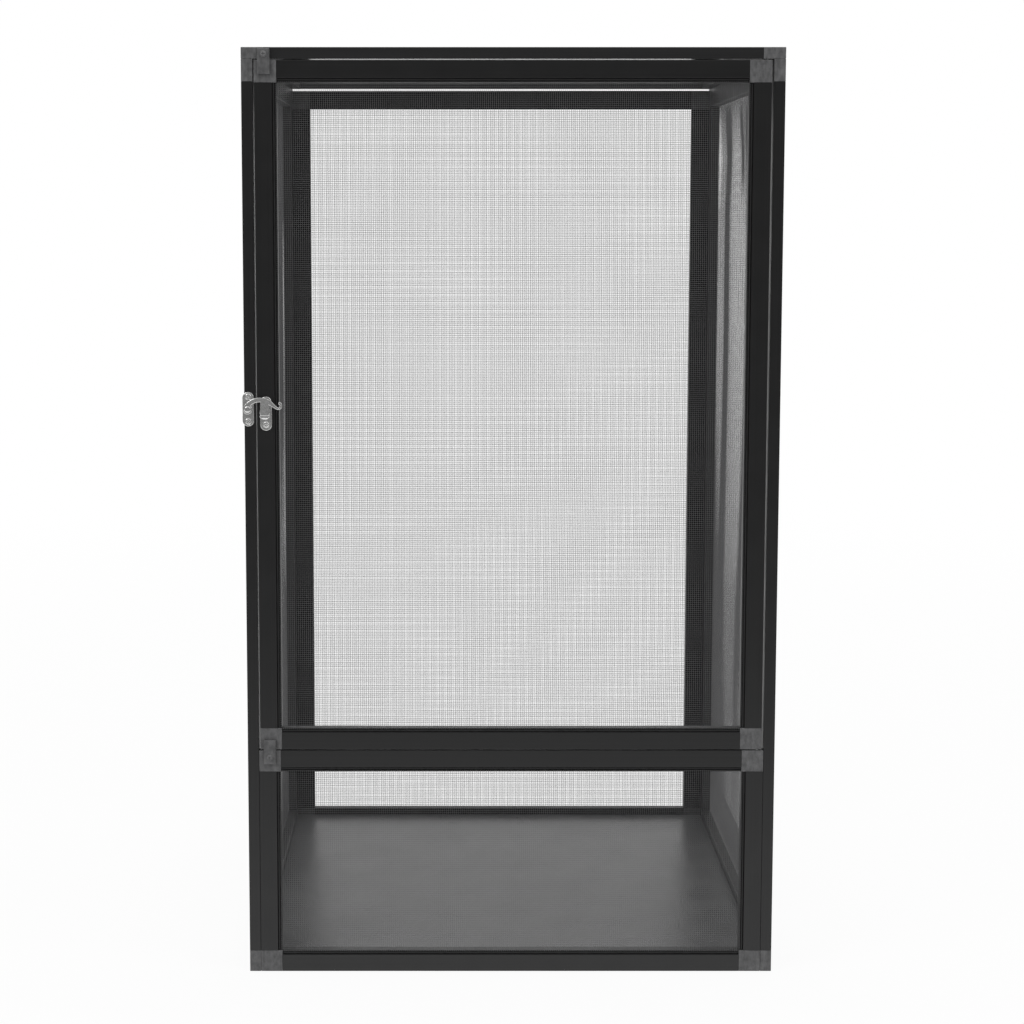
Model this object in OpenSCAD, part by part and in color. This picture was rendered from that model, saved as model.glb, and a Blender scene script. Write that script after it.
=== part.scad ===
// Reptile terrarium: a tall mesh cage of seven flat frames. Each frame is four hollow aluminium
// rails plugged onto plastic corner blocks. Six frames hold insect mesh that a cord wedges into
// the rails' grooves, and the seventh carries the floor board. The door swings on two pins at
// its right edge, a swing latch holds it, and two turn clips press on its left corners.
// Millimetres. The origin is the middle of the footprint, on the surface that the cage stands
// on. The front faces -Y and +X is to the right.

/* [Cage] */
// Width across the front
cage_w = 400; // [360:10:500]
// Depth from front to back
cage_d = 400; // [360:10:500]
// Height over all
cage_h = 700; // [600:10:900]
// Height of the fixed panel below the door
lower_h = 173.2; // [150:0.1:220]
// Gap above and below the door
door_gap = 0.8; // [0.6:0.1:1.5]
// Gap beside the door at its latch
latch_gap = 1; // [0.8:0.1:1.5]
// Gap beside the door at its hinge
hinge_gap = 1.5; // [1.4:0.1:2]
// Gap between the back panel and the top panel
back_gap = 2; // [1:0.1:3]

/* [Rails] */
// Width of a rail's face
rail_w = 16.5; // [16:0.1:18]
// Thickness of a rail
rail_t = 8.5; // [8:0.1:10]
// Width of a rail's face beside its groove
rail_box = 13.2; // [12.5:0.1:13.5]
// Thickness of a rail's walls
rail_wall = 1; // [0.8:0.1:1.2]
// Radius along a rail's outer edges
edge_r = 0.5; // [0.3:0.1:0.8]
// Height of the groove's floor over the rail's inner face
groove_floor = 5.6; // [5:0.1:5.8]
// Height of the lip that the mesh folds over
lip_top = 7.6; // [7.2:0.1:7.8]
// Length of a corner block's legs inside the rails
leg_l = 14; // [8:1:20]

/* [Mesh] */
// Spacing of the drawn wires: the real insect mesh has one each 1.5 mm
net_pitch = 33; // [29:1:60]
// Width of a drawn wire
net_wire = 1.2; // [0.8:0.1:2]
// Thickness of the mesh
net_t = 0.5; // [0.3:0.1:0.6]
// Thickness of the mesh's fold in the groove
net_fold = 0.3; // [0.2:0.1:0.4]
// Radius of the cord that holds the mesh
cord_r = 0.95; // [0.8:0.01:0.98]

/* [Floor] */
// Thickness of the floor board
board_t = 1.5; // [1:0.5:3]
// Gap around the floor board
board_gap = 0.5; // [0.3:0.1:1]

/* [Latch] */
// Height of the latch's pivot
latch_z = 433.4; // [300:0.1:550]
// Distance of the latch's pivot from the cage's left face
latch_x = 2.6; // [2.4:0.1:3.5]
// Thickness of the latch's plates
plate_t = 1; // [0.8:0.1:1.2]
// Width of the arm
arm_w = 3.3; // [3:0.1:3.6]
// Thickness of the arm
arm_t = 1; // [0.8:0.1:1.2]
// Distance from the pivot to the catch plate's middle
catch_dx = 13.7; // [13:0.1:15]

/* [Turn clips] */
// Width of a turn clip
clip_w = 9.1; // [8:0.1:10]
// Length of a turn clip
clip_l = 18.7; // [16:0.1:22]
// Thickness of a turn clip
clip_t = 2.6; // [2:0.1:3]
// Distance of the clips' screws from the cage's left face
clip_x = 16.8; // [15:0.1:18]

/* [Hinge] */
// Distance of the hinge's axis from the door's right edge
hinge_in = 3.2; // [3:0.1:3.4]
// Distance of the hinge's axis behind the front
hinge_back = 2.8; // [2.6:0.1:3]
// Radius of the hinge's pins
pin_r = 1.5; // [1.2:0.1:1.6]
// How far each pin reaches into what carries the door
pin_reach = 5.5; // [4:0.5:6]
// How far each pin is pressed into the door
pin_hold = 7; // [5:0.5:10]

/* [Hidden] */
$fn = 48;
fit = 0.05;          // clearance round what turns or plugs in
eps = 0.01;
side_h = cage_h - rail_t;            // the top panel lies on the sides
inner_w = cage_w - 2 * rail_t;
inner_d = cage_d - 2 * rail_t;
front = -cage_d / 2;
left = -cage_w / 2;
door_z = lower_h + door_gap;
door_w = inner_w - latch_gap - hinge_gap;
door_h = side_h - door_gap - door_z;
door_x = left + rail_t + latch_gap;
hinge = [cage_w / 2 - rail_t - hinge_gap - hinge_in, front + hinge_back];
groove_w = rail_w - rail_box - rail_wall - net_fold;

// The panels: name, width, height, and the names of the bottom, right, top and left rails as
// seen from outside the cage
PANELS = [
    ["top", cage_w, cage_d, ["front", "right", "back", "left"]],
    ["left", cage_d, side_h, ["bottom", "front", "top", "back"]],
    ["right", cage_d, side_h, ["bottom", "back", "top", "front"]],
    ["back", inner_w, side_h - back_gap, ["bottom", "left", "top", "right"]],
    ["door", door_w, door_h, ["bottom", "right", "top", "left"]],
    ["lower", inner_w - 2 * fit, lower_h, ["bottom", "right", "top", "left"]],
    ["floor", inner_w - 2 * fit, inner_d - 2 * fit, ["front", "left", "back", "right"]],
];
MESH_PANELS = [for (p = PANELS) if (p[0] != "floor") p];

// Latch, measured from its pivot
pivot = [left + latch_x, latch_z];
plate_size = [8.5, 25.6];
plate_mid = [0.4, 0.1];
catch_size = [8.6, 25.3];
catch_mid = [catch_dx, -3.2];
screw_pitch = 18.5;                  // between the two screws of a plate
screw_edge = 4.3;                    // from a plate's end to its screw
boss_h = 0.6;                        // raised ring under the arm
arm_gap = 0.1;
arm_back = front - plate_t - boss_h - arm_gap;
rivet_r = 1;
rivet_head_r = 2.5;
arm_r = 12.6;                        // middle radius of the arm's bend
arm_mid = [9.3, -5.4];               // and its middle
arm_end = 53;                        // angle at which the bend ends
arm_run = 6;                         // from there to the curl
curl_r = 2.1;
curl_w = 1.6;
curl_tip = 420;
bead_r = 1;                          // at the curl's tip
eye_r = arm_r + arm_w / 2 - norm(arm_mid) + 0.05;
tongue_w = [5.8, 7.4];               // at its top and at its end
tongue_low = -5.8;
hook_w = 7.5;
hook_r = 4.5;                        // of the lip's lower edge, seen from the front
hook_t = 0.8;
hook_bend = 1.2;                     // middle radius of the bend under the lip
hook_gap = 0.2;                      // between the arm and the hook's lip
hook_low = -7.4;
hook_top = -4.4;
hook_dx = catch_dx - 0.9;

// Screws
screw_r = 1.25;
tip_r = 0.2;
screw_l = 18;
head_r = 2.4;
head_h = 1.2;
plate_screw_l = 7;
plate_screw_rise = 0.35;             // of its oval head
clip_screw_l = 10;
slot_w = 0.6;
clip_gap = 0.25;
clip_top_z = cage_h - 5;
clip_mid_z = lower_h - 4.7;
clip_short = 5.4;                    // from a clip's screw to its nearer end
clip_top_short = 4;
frame_mid = rail_t / 2;
stile_screw_z = lower_h - 13.2;
floor_screw_y = cage_d / 2 - 19;
top_screw = [cage_w / 2 - frame_mid, cage_d / 2 - rail_w / 2];

// ---- Shapes that repeat ----

// A rectangle with round corners
module round_rect(w, h, r) {
    translate([r, 0]) square([w - 2 * r, h]);
    translate([0, r]) square([w, h - 2 * r]);
    for (x = [r, w - r], y = [r, h - r]) translate([x, y]) circle(r);
}

// A rectangle with half-round ends, upright and centred
module stadium(w, h) {
    translate([-w / 2, -(h - w) / 2]) square([w, h - w]);
    for (y = [-1, 1]) translate([0, y * (h - w) / 2]) circle(w / 2);
}

// A block whose edges are all rounded
module soft_block(w, d, h, r) {
    intersection() {
        linear_extrude(h) round_rect(w, d, r);
        translate([0, d, 0]) rotate([90, 0, 0]) linear_extrude(d) round_rect(w, h, r);
        rotate([90, 0, 90]) linear_extrude(w) round_rect(d, h, r);
    }
}

// Part of a ring between two angles
module arc_band(r, w, from, to) {
    steps = ceil((to - from) / 45);
    intersection() {
        difference() {
            circle(r + w / 2);
            circle(r - w / 2);
        }
        polygon(concat([[0, 0]], [for (i = [0:steps]) let (a = from + (to - from) * i / steps)
            3 * r * [cos(a), sin(a)]]));
    }
}

// Stands a flat shape up, facing the front: its back lies at y and it is t thick
module facing_front(y, t) {
    translate([0, y, 0]) rotate([90, 0, 0]) linear_extrude(t) children();
}

// A screw along -Z with its head at the top. A countersunk head ends at z = 0 or, if it is
// oval, rises over it, and a pan head stands on it. grow widens it into the hole that it needs.
module screw(l, pan = false, rise = 0, grow = 0) {
    difference() {
        union() {
            translate([0, 0, -l + screw_r]) cylinder(r = screw_r + grow, h = l - screw_r);
            translate([0, 0, -l]) cylinder(r1 = tip_r + grow, r2 = screw_r + grow, h = screw_r);
            if (pan) {
                cylinder(r = head_r, h = head_h / 2);
                translate([0, 0, head_h / 2]) cylinder(r1 = head_r, r2 = head_r * 0.6, h = head_h / 2);
            } else {
                translate([0, 0, -head_h]) cylinder(r1 = screw_r + grow, r2 = head_r + grow, h = head_h);
                if (rise > 0) cylinder(r1 = head_r, r2 = head_r / 2, h = rise);
                if (grow > 0) cylinder(r = head_r + grow, h = 1);
            }
        }
        if (grow == 0) for (a = [0, 90]) rotate(a)
            translate([-head_r * 0.6, -slot_w / 2, (pan ? head_h : rise) - slot_w])
                cube([head_r * 1.2, slot_w, slot_w + eps]);
    }
}

// ---- Where the screws go ----

module along_y() rotate([90, 0, 0]) children();

module at_top_screws() {
    for (x = [-1, 1], y = [-1, 1])
        translate([x * top_screw[0], y * top_screw[1], cage_h]) children();
}

module at_side_screws() {
    places = [
        [front + frame_mid, rail_w / 2],
        [front + frame_mid, stile_screw_z],
        [-front - frame_mid, rail_w / 2],
        [-front - frame_mid, side_h - rail_w / 2],
        [-floor_screw_y, frame_mid],
        [floor_screw_y, frame_mid],
    ];
    for (x = [-1, 1], p = places)
        translate([x * cage_w / 2, p[0], p[1]]) rotate([0, x * 90, 0]) children();
}

module at_plate_screws() {
    for (z = [-1, 1])
        translate([pivot[0] + plate_mid[0], front - plate_t, pivot[1] + plate_mid[1] + z * screw_pitch / 2])
            along_y() children();
}

module at_catch_screws() {
    for (z = [-1, 1])
        translate([pivot[0] + catch_mid[0], front - plate_t,
                   pivot[1] + catch_mid[1] + z * (catch_size[1] / 2 - screw_edge)])
            along_y() children();
}

module at_clip_screws() {
    for (z = [clip_top_z, clip_mid_z])
        translate([left + clip_x, front - clip_gap - clip_t - 2 * fit, z]) along_y() children();
}

// The hinge's two pins. grow widens them into the bores that they turn in.
module both_pins(grow = 0) {
    for (z = [door_z + door_h - pin_hold, lower_h - pin_reach])
        translate([hinge[0], hinge[1], z - grow])
            cylinder(r = pin_r + grow, h = pin_hold + door_gap + pin_reach + 2 * grow);
}

// Every hole that is drilled through the frames. The pins turn in all of them but the door's.
module bores(in_door) {
    at_top_screws() screw(screw_l, grow = fit);
    at_side_screws() screw(screw_l, grow = fit);
    at_plate_screws() screw(plate_screw_l, grow = fit);
    at_catch_screws() screw(plate_screw_l, grow = fit);
    at_clip_screws() screw(clip_screw_l, pan = true, grow = fit);
    translate([pivot[0], front + 2, pivot[1]]) along_y() cylinder(r = rivet_r + fit, h = 4);
    both_pins(in_door ? 0 : fit);
}

// ---- The frames, each drawn flat: inner face at z = 0, lower left corner at the origin ----

// The extrusion's section: a hollow box, and beside it a groove over a second, small hollow.
// The groove's inner wall is the lip, and its foot is the rail's inner edge.
module rail_profile() {
    lip = rail_w - rail_wall;
    difference() {
        union() {
            round_rect(rail_box, rail_t, edge_r);
            intersection() {
                round_rect(rail_w, rail_t, edge_r);
                square([rail_w, groove_floor]);
            }
            translate([lip, groove_floor - eps]) square([rail_wall, lip_top - groove_floor + eps]);
        }
        translate([rail_wall, rail_wall])
            square([rail_box - 2 * rail_wall, rail_t - 2 * rail_wall]);
        translate([rail_box, rail_wall]) square([lip - rail_box, groove_floor - 2 * rail_wall]);
    }
}

// Puts what lies along the bottom edge of a w by h panel on one of its sides
module on_side(w, h, side) {
    at = [[rail_w, 0], [w, rail_w], [w - rail_w, h], [0, h - rail_w]][side];
    translate([at[0], at[1], 0]) rotate(90 * side) children();
}

function side_length(w, h, side) = (side % 2 == 0 ? w : h) - 2 * rail_w;

module rail(w, h, side) {
    color([0.13, 0.13, 0.13])
        on_side(w, h, side) rotate([90, 0, 90])
            linear_extrude(side_length(w, h, side)) rail_profile();
}

// One corner block, with a leg for each of the two rails that plug onto it
module corner_block() {
    leg = [rail_box - 2 * rail_wall - 2 * fit, rail_t - 2 * rail_wall - 2 * fit];
    soft_block(rail_w, rail_w, rail_t, edge_r);
    translate([rail_w - 1, rail_wall + fit, rail_wall + fit]) cube([leg_l + 1, leg[0], leg[1]]);
    translate([rail_wall + fit, rail_w - 1, rail_wall + fit]) cube([leg[0], leg_l + 1, leg[1]]);
}

module corners(w, h) {
    color([0.3, 0.3, 0.3]) {
        corner_block();
        translate([w, 0, 0]) rotate(90) corner_block();
        translate([w, h, 0]) rotate(180) corner_block();
        translate([0, h, 0]) rotate(270) corner_block();
    }
}

// The mesh lies on the lips, and its edges fold down into the grooves
module net(w, h) {
    open = [w - 2 * rail_w, h - 2 * rail_w];
    rim = rail_wall + net_fold;
    count = [round(open[0] / net_pitch), round(open[1] / net_pitch)];
    step = [open[0] / count[0], open[1] / count[1]];
    color([0.16, 0.16, 0.16]) {
        translate([rail_w, rail_w, lip_top]) linear_extrude(net_t) difference() {
            union() {
                translate([-rim, 0]) square([open[0] + 2 * rim, open[1]]);
                translate([0, -rim]) square([open[0], open[1] + 2 * rim]);
            }
            for (i = [0:count[0] - 1], j = [0:count[1] - 1])
                translate([i * step[0] + net_wire / 2, j * step[1] + net_wire / 2])
                    square([step[0] - net_wire, step[1] - net_wire]);
        }
        for (side = [0:3]) on_side(w, h, side)
            translate([0, rail_w - rim, groove_floor + net_fold])
                cube([side_length(w, h, side), net_fold, lip_top - groove_floor - net_fold + eps]);
    }
}

// The cord that wedges the mesh's edges into the grooves, in four straight lengths
module cord(w, h) {
    color([0.08, 0.08, 0.08])
        for (side = [0:3]) on_side(w, h, side)
            translate([0, rail_box + groove_w / 2, groove_floor + cord_r]) rotate([0, 90, 0])
                cylinder(r = cord_r, h = side_length(w, h, side));
}

// Stands a flat panel in its place in the cage
module placed(name) {
    if (name == "top")
        translate([left, front, side_h]) children();
    if (name == "left")
        translate([left + rail_t, -front, 0]) rotate([90, 0, -90]) children();
    if (name == "right")
        translate([-left - rail_t, front, 0]) rotate([90, 0, 90]) children();
    if (name == "back")
        translate([inner_w / 2, -front - rail_t, 0]) rotate([90, 0, 180]) children();
    if (name == "door")
        translate([door_x, front + rail_t, door_z]) rotate([90, 0, 0]) children();
    if (name == "lower")
        translate([-inner_w / 2 + fit, front + rail_t, 0]) rotate([90, 0, 0]) children();
    if (name == "floor")
        translate([inner_w / 2 - fit, -inner_d / 2 + fit, rail_t]) rotate([0, 180, 0]) children();
}

// A piece of a frame, in its place and drilled
module drilled(name) {
    difference() {
        placed(name) children();
        bores(name == "door");
    }
}

// ---- The pieces that are not part of a frame ----

module floor_board() {
    size = [inner_w - 2 * board_gap, inner_d - 2 * board_gap, board_t];
    color([0.4, 0.4, 0.4]) translate([-size[0] / 2, -size[1] / 2, rail_t]) cube(size);
}

module hinge_pins() {
    color([0.75, 0.75, 0.76]) both_pins();
}

module assembly_screws() {
    color([0.12, 0.12, 0.12]) {
        at_top_screws() screw(screw_l);
        at_side_screws() screw(screw_l);
    }
}

module latch_plate() {
    color([0.78, 0.76, 0.74]) difference() {
        translate([pivot[0], 0, pivot[1]]) {
            facing_front(front, plate_t) translate(plate_mid) stadium(plate_size[0], plate_size[1]);
            facing_front(front - plate_t + eps, boss_h + eps) circle(rivet_r + 0.9);
        }
        at_plate_screws() screw(plate_screw_l, grow = fit);
        translate([pivot[0], front + 1, pivot[1]]) along_y() cylinder(r = rivet_r + fit, h = 4);
    }
}

module latch_plate_screws() {
    color([0.8, 0.78, 0.76]) at_plate_screws() screw(plate_screw_l, rise = plate_screw_rise);
}

// The rivet holds the arm on its plate and reaches a little way into the rail
module latch_rivet() {
    head_y = arm_back - arm_t - arm_gap;
    color([0.8, 0.78, 0.76]) translate([pivot[0], 0, pivot[1]]) {
        facing_front(front + 1.6, front + 1.6 - head_y + eps) circle(rivet_r);
        translate([0, head_y, 0]) along_y() {
            cylinder(r = rivet_head_r, h = 0.3);
            translate([0, 0, 0.3]) cylinder(r1 = rivet_head_r, r2 = rivet_head_r * 0.8, h = 0.3);
            translate([0, 0, 0.6]) cylinder(r1 = rivet_head_r * 0.8, r2 = rivet_head_r * 0.4, h = 0.3);
        }
    }
}

// The arm: a bend over the catch, a curl to lift it by, and a tongue that drops into the hook
module latch_arm() {
    out = [cos(arm_end), sin(arm_end)];
    along = [out[1], -out[0]];
    bend_end = arm_mid + arm_r * out;
    curl_start = bend_end + arm_run * along;
    half = arm_w / 2 - 0.05;
    tip = curl_w / 2 + 0.1;
    end_mid = tongue_low + tongue_w[1] / 2;
    half_end = tongue_w[1] / 2 - 0.1;
    reach = arm_mid[1] + arm_r - end_mid - 1.2;
    color([0.8, 0.78, 0.76]) translate([pivot[0], 0, pivot[1]]) facing_front(arm_back, arm_t)
        difference() {
            union() {
                circle(eye_r);
                translate(arm_mid) arc_band(arm_r, arm_w, arm_end, atan2(-arm_mid[1], -arm_mid[0]));
                polygon([bend_end - 0.3 * along + half * out, bend_end - 0.3 * along - half * out,
                         curl_start - tip * out, curl_start + tip * out]);
                translate(curl_start + curl_r * out) {
                    arc_band(curl_r, curl_w, 172 + arm_end, curl_tip);
                    rotate(curl_tip) translate([curl_r, 0]) circle(bead_r);
                }
                translate([hook_dx, end_mid]) {
                    circle(tongue_w[1] / 2);
                    polygon([[-half_end, 0], [half_end, 0],
                             [tongue_w[0] / 2, reach], [-tongue_w[0] / 2, reach]]);
                }
            }
            circle(rivet_r + fit);
        }
}

// The catch plate, with a hook bent forward that the tongue drops behind
module catch_plate() {
    lip_y = arm_back - arm_t - hook_gap;              // the lip's inner side
    bend_mid = [lip_y - hook_t / 2 + hook_bend, hook_low + hook_bend + hook_t / 2];
    color([0.78, 0.76, 0.74]) difference() {
        translate([pivot[0], 0, pivot[1]]) {
            facing_front(front, plate_t) translate(catch_mid) stadium(catch_size[0], catch_size[1]);
            intersection() {
                translate([hook_dx - hook_w / 2, 0, 0]) rotate([90, 0, 90]) linear_extrude(hook_w) {
                    translate(bend_mid) arc_band(hook_bend, hook_t, 180, 270);
                    translate([bend_mid[0] - eps, hook_low])
                        square([front - plate_t - bend_mid[0] + 2 * eps, hook_t]);
                    translate([lip_y - hook_t, bend_mid[1] - eps])
                        square([hook_t, hook_top - bend_mid[1] - hook_t / 2 + eps]);
                    translate([lip_y - hook_t / 2, hook_top - hook_t / 2]) circle(hook_t / 2);
                }
                facing_front(front, 6) translate([hook_dx, hook_low + hook_r]) circle(hook_r);
            }
        }
        at_catch_screws() screw(plate_screw_l, grow = fit);
    }
}

module catch_screws() {
    color([0.8, 0.78, 0.76]) at_catch_screws() screw(plate_screw_l, rise = plate_screw_rise);
}

// A turn clip. up tells on which side of its screw its long end lies.
module turn_clip(z, up, short) {
    low = up ? z - short : z + short - clip_l;
    color([0.32, 0.32, 0.32]) difference() {
        translate([left + clip_x - clip_w / 2, front - clip_gap, low]) rotate([90, 0, 0])
            soft_block(clip_w, clip_l, clip_t, edge_r);
        translate([left + clip_x, front + 1, z]) along_y()
            cylinder(r = screw_r + fit, h = clip_t + 3);
    }
}

module clip_screws() {
    color([0.3, 0.3, 0.3]) at_clip_screws() screw(clip_screw_l, pan = true);
}

// ---- Nodes ----

for (p = PANELS, side = [0:3])
    drilled(p[0]) rail(p[1], p[2], side);
for (p = PANELS)
    drilled(p[0]) corners(p[1], p[2]);
for (p = MESH_PANELS)
    placed(p[0]) net(p[1], p[2]);
for (p = MESH_PANELS)
    placed(p[0]) cord(p[1], p[2]);
floor_board();
hinge_pins();
assembly_screws();
latch_plate();
latch_plate_screws();
latch_rivet();
latch_arm();
catch_plate();
catch_screws();
turn_clip(clip_top_z, false, clip_top_short);  // clip_top
turn_clip(clip_mid_z, true, clip_short);  // clip_middle
clip_screws();
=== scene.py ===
"""Looks of the reptile terrarium.

The CAD model gives the frames, the floor board and everything that moves. This script gives
every surface its finish and replaces the six drawn nets with real insect mesh, strand by strand.
Lengths are in metres and the frame is the CAD model's: +Z up, the front faces -Y.
"""

import math

import bpy
import numpy as np
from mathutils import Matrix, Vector


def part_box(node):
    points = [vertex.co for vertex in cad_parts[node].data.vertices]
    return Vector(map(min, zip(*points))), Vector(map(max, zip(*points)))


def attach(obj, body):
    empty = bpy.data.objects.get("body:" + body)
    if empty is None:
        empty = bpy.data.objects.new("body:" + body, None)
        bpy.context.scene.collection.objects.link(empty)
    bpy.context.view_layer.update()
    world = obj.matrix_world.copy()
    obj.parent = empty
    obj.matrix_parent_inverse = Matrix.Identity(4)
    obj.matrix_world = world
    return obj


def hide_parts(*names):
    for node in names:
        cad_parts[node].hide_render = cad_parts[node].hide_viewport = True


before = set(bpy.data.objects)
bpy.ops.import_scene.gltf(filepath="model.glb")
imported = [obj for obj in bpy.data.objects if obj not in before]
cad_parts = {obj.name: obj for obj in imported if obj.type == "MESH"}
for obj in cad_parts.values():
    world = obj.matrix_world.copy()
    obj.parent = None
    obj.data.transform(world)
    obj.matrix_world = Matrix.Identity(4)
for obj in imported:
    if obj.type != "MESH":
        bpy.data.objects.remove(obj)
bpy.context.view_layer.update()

MM = 0.001


def put_in_scene(name, data):
    """A new object at the origin that shows the data."""
    made = bpy.data.objects.new(name, data)
    bpy.context.scene.collection.objects.link(made)
    return made


# ---- Camera: the photograph's place and angle ----

CAMERA_AT = (-0.0457, -1.7829, 0.5815)
CAMERA_PITCH = 6.18                      # degrees below the horizon
CAMERA_LENS = 74.9                       # millimetres
CAMERA_SHIFT = (0.0595, -0.07)           # shares of the picture's width
CAMERA_CLIP = (0.01, 100)


def photo_camera():
    made = put_in_scene("camera", bpy.data.cameras.new("camera"))
    made.location = CAMERA_AT
    made.rotation_euler = (math.radians(90 - CAMERA_PITCH), 0, 0)
    made.data.lens = CAMERA_LENS
    made.data.shift_x, made.data.shift_y = CAMERA_SHIFT
    made.data.clip_start, made.data.clip_end = CAMERA_CLIP
    return made


bpy.context.scene.camera = photo_camera()

# ---- Node trees ----


class Tree:
    """The node tree of a material or a world, under construction."""

    def __init__(self, owner):
        owner.use_nodes = True
        self.nodes, self.links = owner.node_tree.nodes, owner.node_tree.links

    def feed(self, socket, value):
        """Links a node's output to a socket, or sets the socket to a number or a colour."""
        if isinstance(value, bpy.types.NodeSocket):
            self.links.new(value, socket)
        else:
            socket.default_value = value

    def node(self, kind, *values, **settings):
        """A new node, with values for its first sockets. A setting is for the socket of its
        name or, where there is none, for the node itself."""
        made = self.nodes.new(kind)
        for key, value in settings.items():
            if key in made.inputs:
                self.feed(made.inputs[key], value)
            else:
                setattr(made, key, value)
        for socket, value in zip(made.inputs, values):
            self.feed(socket, value)
        return made

    def math(self, operation, *values):
        return self.node("ShaderNodeMath", *values, operation=operation).outputs["Value"]

    def mix(self, share, first, second):
        made = self.node("ShaderNodeMix", Factor=share, A=first, B=second)
        return made.outputs["Result"]

    def span(self, source, within, onto, step="LINEAR"):
        """Maps the values within a range onto another range."""
        made = self.node("ShaderNodeMapRange", source, *within, *onto, interpolation_type=step)
        return made.outputs["Result"]


# ---- Materials ----

NOISE_RANGE = (0.3, 0.7)                 # most of a noise's values lie between these
COOL = 1.02                              # the blue in a grey, as a share of its red
EDGE_SAMPLES = 8                         # for the edges that a shader rolls
EXTRUSION_STRETCH = 400                  # how many times longer than wide its lines are
SATIN = (0.38, 0.46)                     # roughness of a rail's smoothest and roughest spots
SMOOTH = (0.14, 0.18)                    # and of the rail that mirrors the back opening
FLOW_RANGE = (0.34, 0.66)                # the noise's range in plastic, for a stronger mottle
FLOW_ROUGH = (-0.06, 0.08)               # what its patches add to the plastic's roughness
SCUFF_W = 0.8 * MM                       # how far the scuffed edges of plastic reach
SCUFF_SHARE = 0.8                        # the light they add, as a share of the lightest patches'
SCUFF_COSINE = 0.75                      # of the edge's turn, at which a scuff is at its lightest
TARNISH = 0.82                           # a metal's darkest spots, as a share of its colour
WEAR = (0.75, 1.5)                       # its smoothest and roughest spots, as shares


class Shader(Tree):
    """A material under construction, with its Principled shader and its object coordinates."""

    def __init__(self, name, **values):
        self.material = bpy.data.materials.new(name)
        super().__init__(self.material)
        self.surface = self.nodes["Principled BSDF"].inputs
        for socket, value in values.items():
            self.surface[socket.replace("_", " ")].default_value = value
        self.place = self.node("ShaderNodeTexCoord").outputs["Object"]

    def noise(self, cells, stretch=(1, 1, 1), detail=3.0, rough=0.55):
        """A noise of that many cells to the metre, its cells stretched along an axis."""
        mapped = self.node("ShaderNodeMapping", Vector=self.place,
                           Scale=[cells / s for s in stretch])
        noise = self.node("ShaderNodeTexNoise", Vector=mapped.outputs["Vector"], Scale=1.0,
                          Detail=detail, Roughness=rough)
        return noise.outputs["Fac"]

    def tint(self, source, low, high, within=NOISE_RANGE):
        """Colours the surface from low to high as a noise rises."""
        ramp = self.node("ShaderNodeValToRGB", source)
        for stop, position, color in zip(ramp.color_ramp.elements, within, (low, high)):
            stop.position = position
            stop.color = (*color, 1)
        self.feed(self.surface["Base Color"], ramp.outputs["Color"])
        return ramp.outputs["Color"]

    def rolled_edges(self, radius):
        """The surface's direction with its sharp edges rolled."""
        return self.node("ShaderNodeBevel", samples=EDGE_SAMPLES, Radius=radius).outputs["Normal"]

    def scuffed_edges(self, color, width, light):
        """Lightens the surface's colour within that width of its sharp edges."""
        face = self.node("ShaderNodeNewGeometry").outputs["Normal"]
        alike = self.node("ShaderNodeVectorMath", self.rolled_edges(width), face,
                          operation="DOT_PRODUCT")
        added = self.span(alike.outputs["Value"], (SCUFF_COSINE, 1), (light, 0))
        lighter = self.node("ShaderNodeVectorMath", color, added, operation="ADD")
        self.feed(self.surface["Base Color"], lighter.outputs["Vector"])

    def rough(self, source, low, high):
        """Roughens the surface from low to high as a noise rises."""
        self.feed(self.surface["Roughness"], self.span(source, NOISE_RANGE, (low, high)))

    def bump(self, height, depth, strength, under=None):
        """Raises the surface by up to depth metres, over another direction if one is given."""
        bump = self.node("ShaderNodeBump", Height=height, Distance=depth, Strength=strength)
        if under is not None:
            self.feed(bump.inputs["Normal"], under)
        self.feed(self.surface["Normal"], bump.outputs["Normal"])
        return bump.outputs["Normal"]


def grey(value):
    return (value, value, value * COOL)


def anodised(name, axis, low, high, gloss, rough=SATIN):
    """Black aluminium with the faint lines that the extrusion leaves along the rail's axis."""
    made = Shader(f"{name}_{'xyz'[axis]}", Specular_IOR_Level=gloss)
    along = [1, 1, 1]
    along[axis] = EXTRUSION_STRETCH
    lines = made.noise(cells=1100, stretch=along, detail=2)
    clouds = made.noise(cells=45, detail=4)
    made.tint(lines, grey(low), grey(high))
    made.rough(clouds, *rough)
    made.bump(lines, depth=0.012 * MM, strength=0.4)
    return made.material


def moulded(name, low, high, rough):
    """Dark grey plastic, mottled where it flowed in the mould, its edges a little scuffed."""
    made = Shader(name, Specular_IOR_Level=0.4)
    patches = made.noise(cells=260, stretch=(1, 1, 1.8), detail=5, rough=0.62)
    grain = made.noise(cells=2600, detail=2)
    color = made.tint(patches, grey(low), grey(high), within=FLOW_RANGE)
    made.scuffed_edges(color, SCUFF_W, SCUFF_SHARE * high)
    made.rough(patches, *(rough + added for added in FLOW_ROUGH))
    grained = made.bump(grain, depth=0.04 * MM, strength=0.5)
    made.bump(patches, depth=0.12 * MM, strength=0.6, under=grained)
    return made.material


def coated_mesh(name, low, high):
    """The dark coating of the mesh's strands."""
    made = Shader(name, Roughness=0.42, Specular_IOR_Level=0.5)
    made.tint(made.noise(cells=70), grey(low), grey(high))
    return made.material


def ribbed_rubber():
    """The cord's rubber, with the fine ribs that grip the groove."""
    made = Shader("spline_rubber", Specular_IOR_Level=0.4)
    patches = made.noise(cells=300)
    ribs = made.noise(cells=1800, detail=1)
    made.tint(patches, grey(0.010), grey(0.018))
    made.rough(patches, low=0.55, high=0.7)
    made.bump(ribs, depth=0.08 * MM, strength=0.7)
    return made.material


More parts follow.
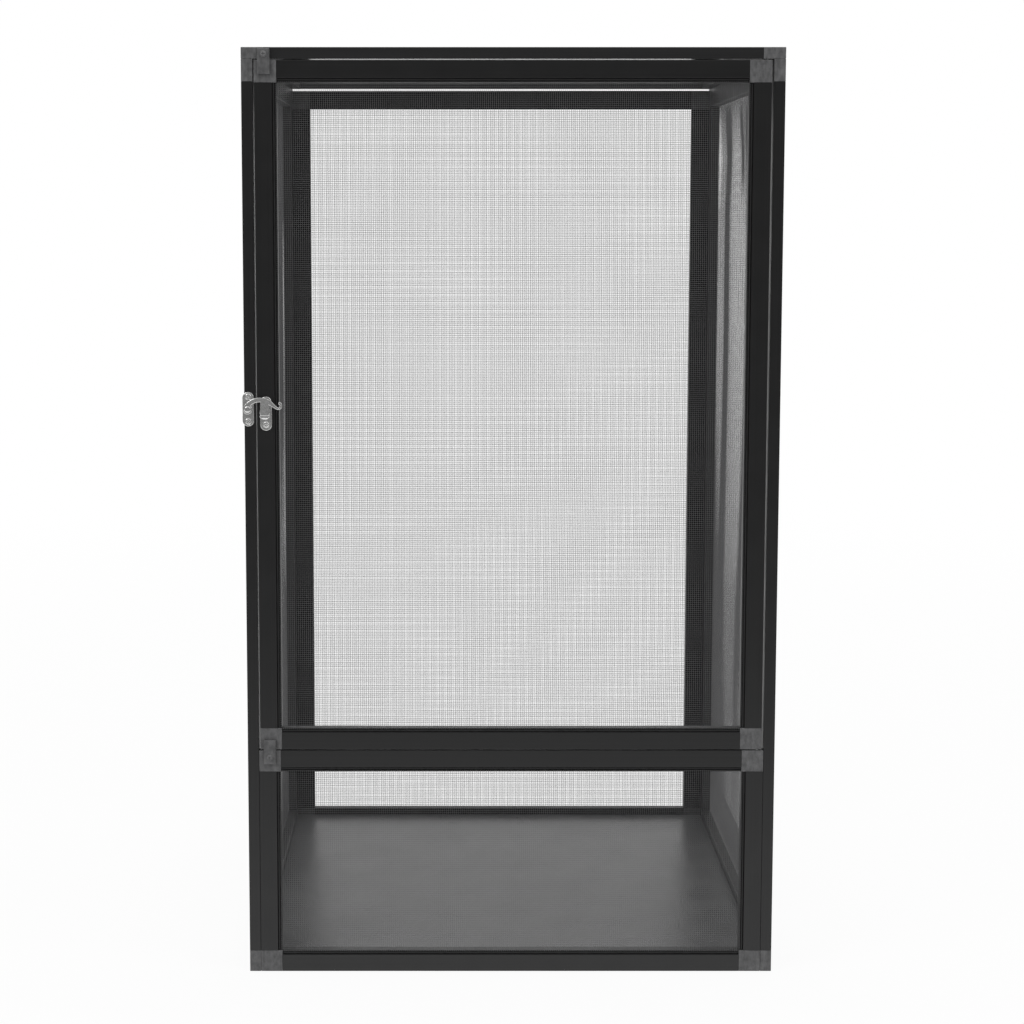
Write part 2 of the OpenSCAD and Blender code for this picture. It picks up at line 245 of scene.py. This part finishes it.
def embossed_board():
    """Dark plastic board: a linen emboss, long soft ripples and a dull sheen."""
    made = Shader("embossed_board", Specular_IOR_Level=0.75)
    clouds = made.noise(cells=22, detail=4)
    warp = made.noise(cells=900, stretch=(1, 9, 1), detail=1)
    weft = made.noise(cells=900, stretch=(9, 1, 1), detail=1)
    ripples = made.noise(cells=90, stretch=(1, 2.6, 1))
    dimples = made.noise(cells=380, stretch=(1, 4, 1), detail=2)
    made.tint(clouds, grey(0.054), grey(0.066))
    made.rough(clouds, low=0.29, high=0.37)
    rippled = made.bump(ripples, depth=0.25 * MM, strength=0.5)
    dimpled = made.bump(dimples, depth=0.16 * MM, strength=0.6, under=rippled)
    warped = made.bump(warp, depth=0.05 * MM, strength=0.5, under=dimpled)
    made.bump(weft, depth=0.05 * MM, strength=0.5, under=warped)
    return made.material


def plated(name, color, rough, grain, depth, metallic, edge):
    """Bright plated or bare metal with fine scratches, a little wear and rolled edges."""
    made = Shader(name, Metallic=metallic)
    clouds = made.noise(cells=420, detail=4)
    scratches = made.noise(cells=grain, stretch=(1, 1, 5))
    made.tint(clouds, [c * TARNISH for c in color], color)
    made.rough(scratches, *(rough * share for share in WEAR))
    made.bump(scratches, depth, strength=0.5, under=made.rolled_edges(edge))
    return made.material


def painted_screw():
    """The black paint on the assembly screws."""
    made = Shader("screw_paint", Specular_IOR_Level=0.5)
    clouds = made.noise(cells=700)
    made.tint(clouds, grey(0.012), grey(0.022))
    made.rough(clouds, low=0.3, high=0.45)
    made.bump(clouds, depth=0.04 * MM, strength=0.5)
    return made.material


RAIL_FINISH = [anodised("anodised", axis, 0.0075, 0.0105, gloss=0.5) for axis in range(3)]
# The same anodising, darker and duller on the back panel's rails: painted shade, for the shade
# inside the cage
BACK_RAIL_PAINTED_SHADE = [anodised("back_anodised_painted_shade", axis, 0.0035, 0.0050, gloss=0.22)
                    for axis in range(3)]
# The top front rail's anodising: its smoother finish is real, and its lighter tint is a painted
# reflection of the bright back opening
TOP_RAIL_PAINTED_LIGHT = anodised("top_anodised_painted_light", 0, 0.0155, 0.0190, gloss=0.5, rough=SMOOTH)
CORNER_FINISH = moulded("corner_plastic", 0.060, 0.125, rough=0.5)
# The same plastic, darker on the back panel's corner blocks: painted shade, for the shade inside
# the cage
BACK_CORNER_PAINTED_SHADE = moulded("back_corner_painted_shade", 0.016, 0.034, rough=0.5)
CLIP_FINISH = moulded("clip_plastic", 0.060, 0.120, rough=0.46)
MESH_FINISH = coated_mesh("mesh_coating", 0.068, 0.084)
# The same coating, lighter on the door's and the lower screen's strands: painted light, for the
# front light they catch
FRONT_MESH_PAINTED_LIGHT = coated_mesh("front_mesh_painted_light", 0.104, 0.122)
CORD_FINISH = ribbed_rubber()
BOARD_FINISH = embossed_board()
NICKEL_FINISH = plated("nickel_plate", (0.90, 0.90, 0.89), rough=0.13, grain=900,
                       depth=0.04 * MM, metallic=0.84, edge=0.9 * MM)
STEEL_FINISH = plated("pin_steel", (0.56, 0.56, 0.57), rough=0.28, grain=2500,
                      depth=0.02 * MM, metallic=1.0, edge=0.2 * MM)
SCREW_FINISH = painted_screw()

# ---- The CAD nodes' finishes ----

CLIPS = ("clip_top", "clip_middle", "clip_screws")
LATCH = ("latch_plate", "latch_plate_screws", "latch_rivet", "latch_arm", "catch_plate",
         "catch_screws")

# The finishes of single nodes, and those of a kind: the last word of a node's name
NODE_FINISH = {
    "top_front_rail": TOP_RAIL_PAINTED_LIGHT,
    "back_corners": BACK_CORNER_PAINTED_SHADE,
    "floor_board": BOARD_FINISH,
    "hinge_pins": STEEL_FINISH,
    "assembly_screws": SCREW_FINISH,
    **dict.fromkeys(CLIPS, CLIP_FINISH),
    **dict.fromkeys(LATCH, NICKEL_FINISH),
}
KIND_FINISH = {"corners": CORNER_FINISH, "cord": CORD_FINISH, "mesh": MESH_FINISH}


def rail_finish(name):
    """The finish whose lines run along the rail."""
    low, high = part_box(name)
    size = high - low
    # The back panel's rails take the copy of the anodising with painted shade
    rails = BACK_RAIL_PAINTED_SHADE if name.startswith("back_") else RAIL_FINISH
    return rails[max(range(3), key=lambda axis: size[axis])]


def finish_of(name):
    if name in NODE_FINISH:
        return NODE_FINISH[name]
    kind = name.split("_")[-1]
    return rail_finish(name) if kind == "rail" else KIND_FINISH[kind]


for name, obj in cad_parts.items():
    obj.data.materials.clear()
    obj.data.materials.append(finish_of(name))

# ---- Insect mesh: sizes ----

PITCH = 1.5 * MM                         # from strand to strand
STRAND_R = 0.092 * MM
RIM = 1.3 * MM                           # the mesh's edge beyond the open part: over the lip
NET_T = 0.5 * MM                         # thickness of the CAD node's flat part
CROSS_UP = 0.16 * MM                     # how far one set of strands lies over the other
END_GAP = 0.15 * MM                      # from the strands' ends to the CAD node's edge
BEND_W, BEND_H = 0.35 * MM, 0.3 * MM     # a strand's bend into the groove
TAUT_EDGE = 14 * MM                      # over this width a screen rises from its plane
JITTER = 0.018 * MM                      # unevenness of the weave
WEAVE_SEED = 7
# The screens whose strands take the lighter coating with painted light
FRONT_SCREENS = ("door", "lower")
ZERO = 1e-9                              # a length below this has no direction

# Name: the axis that the screen faces, which way, its body, and the segments of the strands
# that run along its first and its second direction
SCREENS = {
    "top": (2, 1, "cage", 8, 8),
    "left": (0, -1, "cage", 20, 12),
    "right": (0, 1, "cage", 30, 14),
    "back": (1, 1, "cage", 8, 12),
    "door": (1, -1, "door", 8, 10),
    "lower": (1, -1, "cage", 8, 4),
}

# A wave is given by its radians to the metre in two directions in the plane of a screen
DRIFT = 0.35 * MM                        # how far the rows of strands wander in that plane
DRIFT_WAVES = ((9, 7), (17, -21))        # along a strand and across it
DRIFT_SHARE = 0.5                        # the second wave's height, as a share of the first's
LONG_WAVES = ((23, 9), (-5, 14))         # out of the plane: their product is taken
SHORT_WAVE = (47, -17)                   # and this one is added,
SHORT_SHARE = 0.4                        # with this share of their height
TAUT_HEIGHT = 0.2 * MM                   # that height on a taut screen
SIDE_WAVES = {"right": (0.25 * MM, 1.0), "left": (0.9 * MM, 2.2)}    # height and phase
LEFT_BELLY = 3.5 * MM                    # how far the left screen stands out in its middle
BELLY_POWER = 0.7                        # below 1: the belly is fuller towards top and bottom

# The right screen is slack: its slope outwards along Y, from its back edge to its front. The
# last stretch is behind the front frame and brings it back to its plane.
SLACK_Y = np.array([186, 152, 142, 134, 108, 98, 88, 60, 28, 16, 6, -24, -60, -184]) * MM
SLACK_SLOPE = np.array([-.025, -.04, 0, .05, .05, 0, -.05, -.07, -.065, 0, .06, .06, 0, 0])
SLACK_STEPS = 400
SLACK_Z = np.array([0, 150, 252, 324, 470, 560, 692]) * MM
SLACK_SHARE = np.array([0, .12, .3, .6, 1, 1, 1])    # how much of its folds it keeps at each Z
SLACK_LEAN = 0.014                       # its slope inwards where it hangs flat, near the bottom
FOLD_TOP = (54 * MM, 665 * MM)           # Y and Z where its slanted fold starts
FOLD_FOOT, FOLD_FADE = 575 * MM, 50 * MM     # Z where the fold ends, and the height it fades over
FOLD_LEAN = 0.4
FOLD_R = 12 * MM
FOLD_H = 1.5 * MM

# ---- Insect mesh: shapes ----


def arch(t, start, end):
    """Half a sine wave, 0 at start and end and 1 in the middle."""
    return np.sin(np.pi * np.clip((t - start) / (end - start), 0, 1))


def wave(u, v, turns, phase):
    return np.sin(turns[0] * u + turns[1] * v + phase)


def unevenness(u, v, height, phase):
    """How far a screen that is nearly taut stands outwards."""
    long = wave(u, v, LONG_WAVES[0], phase) * wave(u, v, LONG_WAVES[1], 2 * phase)
    return height * (long + SHORT_SHARE * wave(u, v, SHORT_WAVE, 3 * phase))


def slack_folds(y):
    """How far the slack screen stands outwards where its upright folds are deepest."""
    steps = np.linspace(SLACK_Y[0], SLACK_Y[-1], SLACK_STEPS)
    slopes = np.interp(-steps, -SLACK_Y, SLACK_SLOPE)
    out = np.concatenate([[0], np.cumsum((slopes[1:] + slopes[:-1]) / 2 * np.diff(steps))])
    hidden = np.clip((SLACK_Y[-2] - steps) / (SLACK_Y[-2] - SLACK_Y[-1]), 0, 1)
    out -= out[-1] * (3 * hidden ** 2 - 2 * hidden ** 3)
    return np.interp(-y, -steps, out)


def slanted_fold(y, z):
    across = y - FOLD_TOP[0] + (FOLD_TOP[1] - z) * FOLD_LEAN
    return FOLD_H * np.tanh(across / FOLD_R) * np.clip((z - FOLD_FOOT) / FOLD_FADE, 0, 1)


def slack(y, z):
    """How far the right screen stands outwards: in folds, but leaning in near the bottom."""
    lean = SLACK_LEAN * (SLACK_Y[0] - SLACK_Y[-2]) * arch(y, SLACK_Y[0], SLACK_Y[-1])
    share = np.interp(z, SLACK_Z, SLACK_SHARE)
    return slack_folds(y) * share - lean * (1 - share) + slanted_fold(y, z)


def belly(u, v, low, high):
    """How far the left screen stands outwards."""
    return LEFT_BELLY * arch(u, low[0], high[0]) * arch(v, low[1], high[1]) ** BELLY_POWER


def bulge(panel, u, v, low, high):
    """Outward offset of a screen at its own directions u and v, nothing at its edges."""
    edge = np.ones_like(u)
    for t, a, b in ((u, low[0], high[0]), (v, low[1], high[1])):
        inside = np.clip(np.minimum(t - a, b - t) / TAUT_EDGE, 0, 1)
        edge = edge * inside * (2 - inside)
    # The taut screens have the length of their name as a phase
    out = unevenness(u, v, *SIDE_WAVES.get(panel, (TAUT_HEIGHT, len(panel))))
    if panel == "right":
        out = slack(u, v) + out
    if panel == "left":
        out = belly(u, v, low, high) + out
    return edge * out


def tubes(paths, radius):
    """Four-sided tubes along many paths of equal length: their vertices and faces. The third
    direction is outwards, and a tube that starts or ends along it closes there in a point."""
    count, points = paths.shape[:2]
    outwards = np.array([0, 0, 1.0])
    along = np.gradient(paths, axis=1)
    along /= np.linalg.norm(along, axis=2, keepdims=True)
    side = np.cross(along, outwards)
    side /= np.maximum(np.linalg.norm(side, axis=2, keepdims=True), ZERO)
    up = np.cross(side, along)
    ring = [side, up, -side, -up]
    sides = len(ring)
    verts = np.stack([paths + radius * r for r in ring], axis=2).reshape(-1, 3)
    first = np.arange(count)[:, None, None] * points * sides
    step = np.arange(points - 1)[None, :, None] * sides
    k = np.arange(sides)[None, None, :]
    a, b = first + step + k, first + step + (k + 1) % sides
    faces = np.stack([a, b, b + sides, a + sides], axis=-1).reshape(-1, 4)
    return verts, faces


def strands(panel, rng, cross, low, high, floor, lip, segments):
    """The paths of the strands along one direction: cross is 0 for those along u and 1 for
    those along v. Both ends bend over the lip and drop to the groove's floor."""
    start, end = low[1 - cross], high[1 - cross]
    count = round((end - start) / PITCH)
    at = np.linspace(start, end, count + 1)[1:-1] + rng.normal(0, JITTER, count - 1)
    a, b = low[cross] - RIM + END_GAP, high[cross] + RIM - END_GAP
    rest = lip + STRAND_R + cross * CROSS_UP
    inner = np.linspace(low[cross], high[cross], segments + 1)
    along = np.concatenate([[a, a, a + BEND_W], inner, [b - BEND_W, b, b]])
    drop = np.full(len(along), rest)
    drop[[0, -1]] = floor
    drop[[1, -2]] = rest - BEND_H
    t, c = np.meshgrid(along, at)
    first, second = DRIFT_WAVES
    wander = wave(t, c, first, len(panel)) + DRIFT_SHARE * wave(t, c, second, 2 * cross)
    c = c + DRIFT * wander
    u, v = (t, c) if cross == 0 else (c, t)
    n = np.broadcast_to(drop, t.shape) + bulge(panel, u, v, low, high)
    return np.stack([u, v, n], axis=-1)


def screen(panel, rng):
    """One panel's mesh in the place of its drawn net."""
    axis, sign, body, *segments = SCREENS[panel]
    node = f"{panel}_mesh"
    low, high = (np.array(corner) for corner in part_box(node))
    in_plane = [i for i in range(3) if i != axis]
    floor, top = sorted((sign * low[axis], sign * high[axis]))
    low, high = low[in_plane] + RIM, high[in_plane] - RIM
    verts, faces = [], []
    for cross in (0, 1):
        paths = strands(panel, rng, cross, low, high, floor, top - NET_T, segments[cross])
        tube_verts, tube_faces = tubes(paths, STRAND_R)
        faces.append(tube_faces + sum(len(x) for x in verts))
        verts.append(tube_verts)
    local, faces = np.concatenate(verts), np.concatenate(faces)
    world = np.empty_like(local)
    world[:, in_plane] = local[:, :2]
    world[:, axis] = sign * local[:, 2]
    mesh = bpy.data.meshes.new(f"{panel}_screen")
    mesh.from_pydata(world.tolist(), [], faces.tolist())
    mesh.shade_smooth()
    mesh.materials.append(FRONT_MESH_PAINTED_LIGHT if panel in FRONT_SCREENS else MESH_FINISH)
    made = put_in_scene(f"{panel}_screen", mesh)
    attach(made, body)
    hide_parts(node)


weave = np.random.default_rng(WEAVE_SEED)
for panel in SCREENS:
    screen(panel, weave)

# ---- Stage and light ----

FLOOR_R = 6.0
FLOOR_SIDES = 96
PAPER = (0.8, 0.8, 0.8, 1)
WHITE = (1, 1, 1, 1)
WHITE_SHARE = 0.93                       # of plain white in the floor. The rest takes shadows
WHITE_RADII = (1.3, 2.8)                 # between these radii it turns into plain white
WHITE_GRAIN = 0.8                        # and that much sooner, in a fine grain
FRONT_GREY = 0.12                        # what glossy surfaces see of the studio in front
TABLE_Y = (-1.15, -0.65)                 # they see the floor end there, between these places
BACKDROP_Y = (-0.25, 0.45)               # and the studio turn white between these directions
CEILING_Z = (0.55, 0.85)
AMBIENT = 0.75


def floor_paper():
    """White paper that takes the object's shadow. The camera sees it turn into plain white
    further out, and glossy surfaces see it end in front of the object."""
    material = bpy.data.materials.new("floor_paper")
    tree = Tree(material)
    tree.nodes.clear()
    place = tree.node("ShaderNodeTexCoord").outputs["Object"]
    rays = tree.node("ShaderNodeLightPath").outputs

    radius = tree.node("ShaderNodeVectorMath", place, operation="LENGTH").outputs["Value"]
    grain = tree.node("ShaderNodeTexWhiteNoise", Vector=place).outputs["Value"]
    reach = tree.math("MULTIPLY_ADD", grain, WHITE_GRAIN, radius)
    share = tree.span(reach, WHITE_RADII, (WHITE_SHARE, 1.0), "SMOOTHSTEP")
    seen = tree.math("MULTIPLY", share, rays["Is Camera Ray"])
    paper = tree.node("ShaderNodeBsdfDiffuse", Color=PAPER).outputs["BSDF"]
    white = tree.node("ShaderNodeEmission").outputs["Emission"]
    shown = tree.node("ShaderNodeMixShader", seen, paper, white).outputs["Shader"]

    y = tree.node("ShaderNodeSeparateXYZ", place).outputs["Y"]
    front = tree.span(y, TABLE_Y, (FRONT_GREY, 1.0), "SMOOTHSTEP")
    glow = tree.node("ShaderNodeEmission", Strength=front).outputs["Emission"]
    both = tree.node("ShaderNodeMixShader", rays["Is Glossy Ray"], shown, glow)
    tree.node("ShaderNodeOutputMaterial", Surface=both.outputs["Shader"])
    return material


def stage_floor():
    mesh = bpy.data.meshes.new("floor")
    ring = [(FLOOR_R * math.cos(a), FLOOR_R * math.sin(a), 0)
            for a in np.linspace(0, 2 * math.pi, FLOOR_SIDES, endpoint=False)]
    mesh.from_pydata(ring, [], [list(range(FLOOR_SIDES))])
    mesh.materials.append(floor_paper())
    put_in_scene("floor", mesh)


def studio_world():
    """White for the camera. Glossy surfaces see a white backdrop behind the object, a white
    ceiling and a dim room in front, and everything else gets an even ambient light."""
    world = bpy.data.worlds.new("studio")
    bpy.context.scene.world = world
    tree = Tree(world)
    place = tree.node("ShaderNodeTexCoord").outputs["Generated"]
    towards = tree.node("ShaderNodeSeparateXYZ", place).outputs
    rays = tree.node("ShaderNodeLightPath").outputs

    behind = tree.span(towards["Y"], BACKDROP_Y, (FRONT_GREY, 1.0), "SMOOTHSTEP")
    above = tree.span(towards["Z"], CEILING_Z, (FRONT_GREY, 1.0), "SMOOTHSTEP")
    light = tree.mix(rays["Is Glossy Ray"], AMBIENT, tree.math("MAXIMUM", behind, above))
    seen = tree.math("MAXIMUM", rays["Is Camera Ray"], rays["Is Transmission Ray"])
    sky = tree.nodes["Background"].inputs
    tree.feed(sky["Color"], WHITE)
    tree.feed(sky["Strength"], tree.mix(seen, light, 1.0))


# Soft boxes: where they stand, their width and their power in watts
SOFT_BOXES = [
    ((-1.6, -1.5, 2.0), 1.2, 16),
    ((1.7, -1.2, 1.7), 1.2, 10),
    ((0.2, 1.2, 2.3), 1.4, 12),
]
SOFT_BOX_AIM = (0, 0, 0.3)


def soft_box(number, at, width, watts):
    data = bpy.data.lights.new(f"soft_box_{number}", "AREA")
    data.size = width
    data.energy = watts
    made = put_in_scene(data.name, data)
    made.location = at
    aim = Vector(SOFT_BOX_AIM) - Vector(at)
    made.rotation_euler = aim.to_track_quat("-Z", "Y").to_euler()


stage_floor()
studio_world()
for number, box in enumerate(SOFT_BOXES):
    soft_box(number, *box)

bpy.context.scene.view_settings.view_transform = "Standard"
